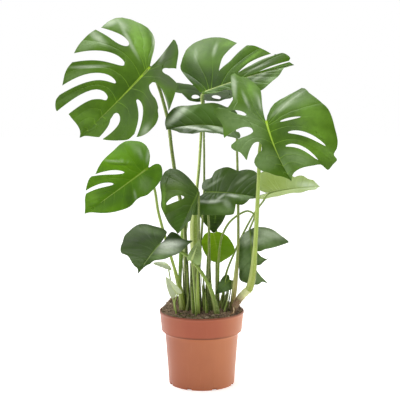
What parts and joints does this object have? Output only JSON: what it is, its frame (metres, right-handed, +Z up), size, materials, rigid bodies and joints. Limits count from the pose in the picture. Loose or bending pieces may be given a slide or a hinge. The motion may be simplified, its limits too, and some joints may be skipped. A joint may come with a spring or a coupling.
{
  "type": "potted monstera",
  "caption": "Swiss cheese plant with split and holed heart-shaped leaves on long arching stalks, growing from soil in a round terracotta-coloured nursery pot.",
  "frame": {"origin": "middle of the pot's flat underside, on the surface it stands on", "axes": "+Z up along the pot's axis; -Y is the front, the side with most leaf faces; +X to the right seen from the front"},
  "size_m": [0.7353, 0.4193, 1.0229],
  "materials": {
    "terracotta_plastic": "satin moulded polypropylene, terracotta colour",
    "soil": "loose dark potting soil with wood fibre",
    "leaf": "smooth waxy leaf, satin gloss",
    "dark_leaf": "smooth waxy leaf, satin gloss, dark green",
    "young_leaf": "thin young leaf, yellow-green",
    "pale_leaf": "matt pale leaf underside",
    "stalk": "smooth green leaf stalk",
    "pale_stalk": "smooth pale green rolled leaf",
    "rhizome": "dull ringed stem bark",
    "root": "dry tan root skin"
  },
  "bodies": {
    "root": {"pot": "terracotta_plastic", "leaf_upper_left": "leaf", "stalk_upper_left": "stalk", "leaf_upper_middle": "leaf", "stalk_upper_middle": "stalk", "leaf_middle": "dark_leaf", "stalk_middle": "stalk", "leaf_upper_right": "leaf", "stalk_upper_right": "stalk", "leaf_left": "leaf", "stalk_left": "stalk", "leaf_right": "pale_leaf", "stalk_right": "stalk", "leaf_front_left": "dark_leaf", "stalk_front_left": "stalk", "leaf_front_right": "dark_leaf", "stalk_front_right": "stalk", "leaf_lower_left": "dark_leaf", "stalk_lower_left": "stalk", "leaf_lower_right": "dark_leaf", "stalk_lower_right": "stalk", "leaf_inner_bright": "young_leaf", "stalk_inner_bright": "stalk", "leaf_inner_low": "dark_leaf", "stalk_inner_low": "stalk", "leaf_sprout": "pale_leaf", "stalk_sprout": "stalk", "leaf_sprout_folded": "pale_leaf", "stalk_sprout_folded": "stalk", "leaf_inner_pale": "leaf", "stalk_inner_pale": "stalk", "leaf_inner_dark": "dark_leaf", "stalk_inner_dark": "stalk", "leaf_back": "dark_leaf", "stalk_back": "stalk", "leaf_rolled": "pale_stalk", "rhizome": "rhizome", "aerial_root": "root", "soil": "soil"}
  },
  "joints": []
}
